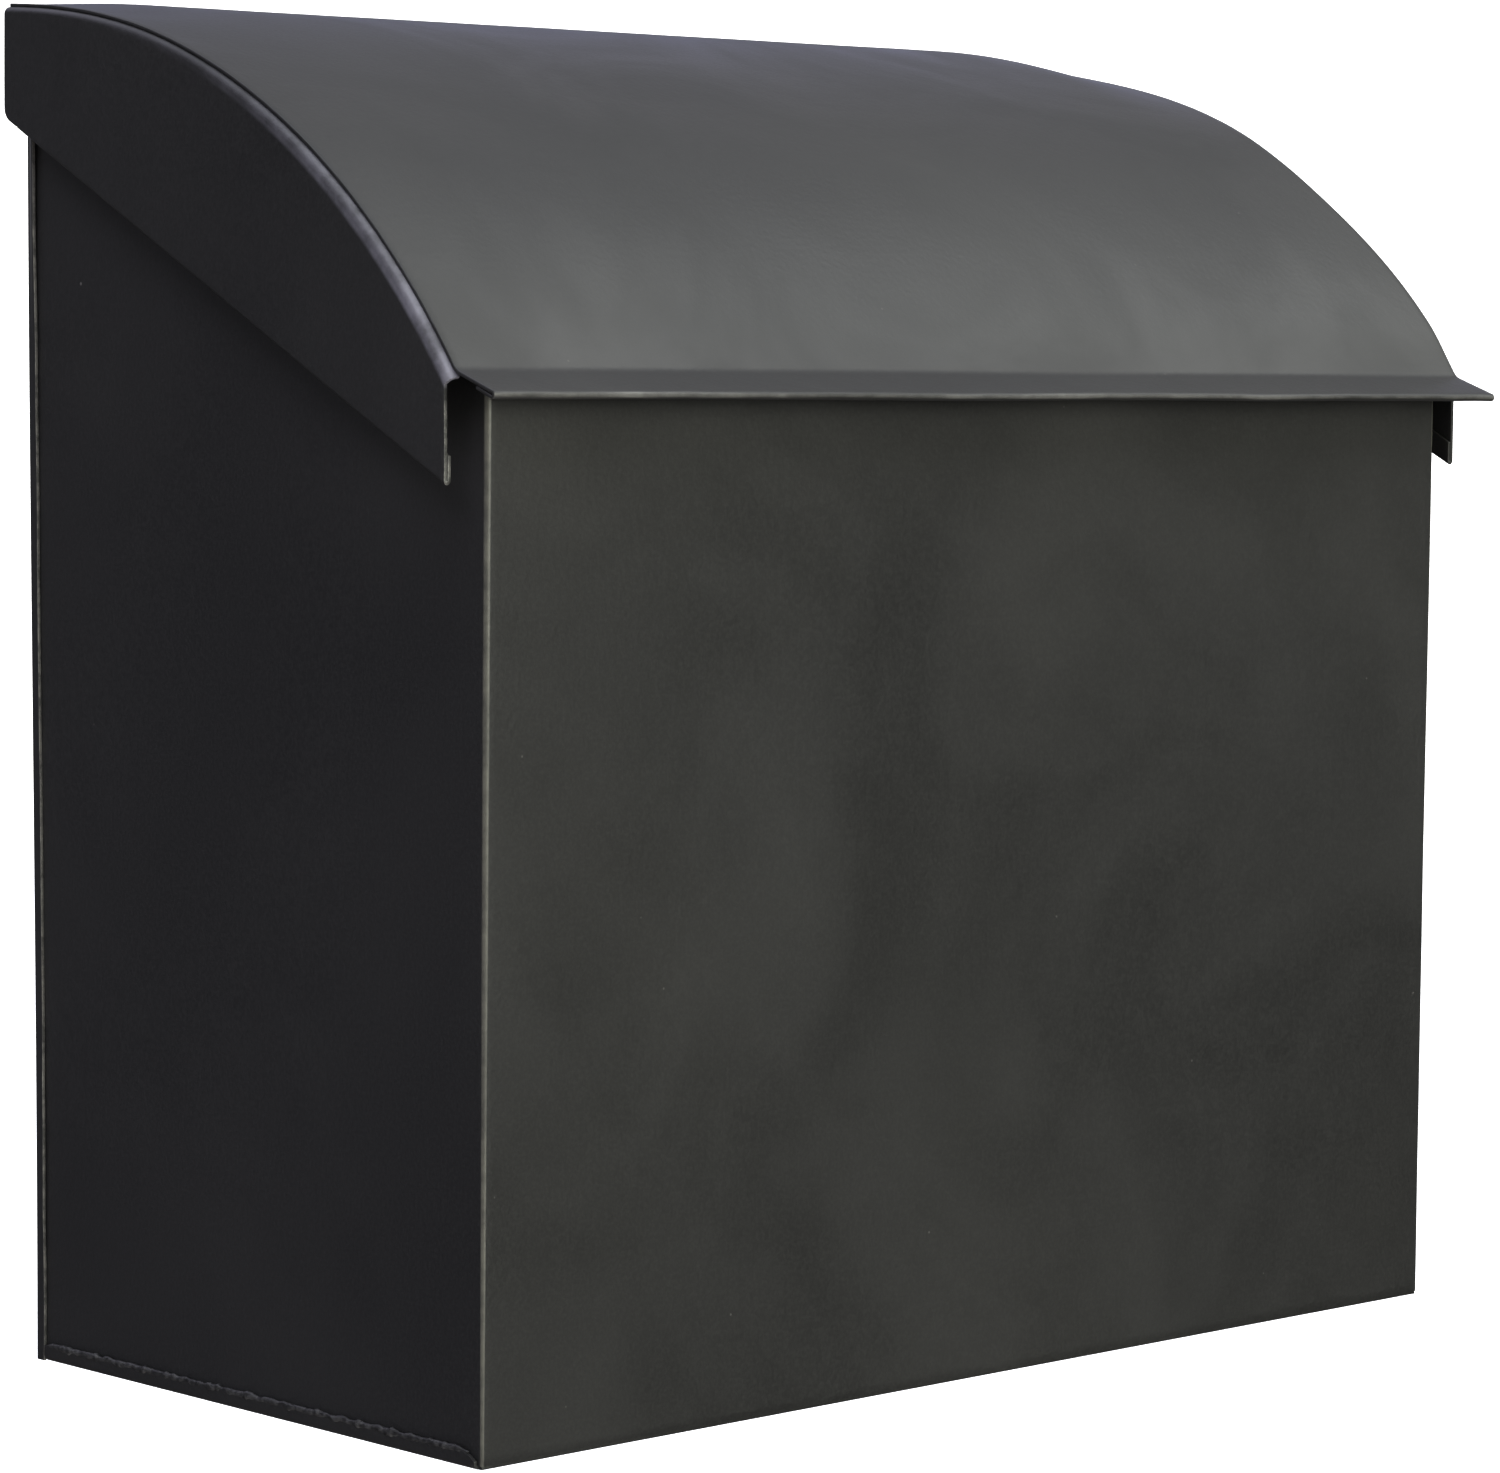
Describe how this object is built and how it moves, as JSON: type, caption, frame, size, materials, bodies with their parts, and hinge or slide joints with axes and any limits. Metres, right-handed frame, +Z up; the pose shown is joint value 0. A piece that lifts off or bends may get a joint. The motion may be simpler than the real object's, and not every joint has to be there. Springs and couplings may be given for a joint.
{
  "type": "wall mounted mailbox",
  "caption": "Sheet steel mailbox that screws to a wall, with an arched lid that hinges up at the back from a folded lip.",
  "frame": {"origin": "centre of the four wall screw holes, on the wall plane", "axes": "+Y into the wall, so the front faces -Y; +X to the right seen from the front; +Z up"},
  "size_m": [0.32, 0.1667, 0.3052],
  "materials": {
    "painted_steel": "satin dark charcoal powder coat, faint mottling and dust",
    "weld_bead": "rough painted weld bead",
    "hinge_steel": "satin dark paint, worn at the knuckles",
    "pin_steel": "dull zinc plated steel"
  },
  "bodies": {
    "body": {"back_panel": "painted_steel", "bottom_panel": "painted_steel", "front_and_sides": "painted_steel", "left_seam_weld": "weld_bead", "right_seam_weld": "weld_bead", "left_hinge_body_leaf": "hinge_steel", "right_hinge_body_leaf": "hinge_steel", "left_hinge_pin": "pin_steel", "right_hinge_pin": "pin_steel"},
    "lid": {"lid_top": "painted_steel", "left_cheek": "painted_steel", "right_cheek": "painted_steel", "left_hinge_lid_leaf": "hinge_steel", "right_hinge_lid_leaf": "hinge_steel"}
  },
  "joints": [
    {"name": "lid_hinge", "type": "hinge", "parent": "body", "child": "lid", "pos_m": [0, -0.00365, 0.16221], "axis": [-1, 0, 0], "range_deg": [0, 92]}
  ]
}
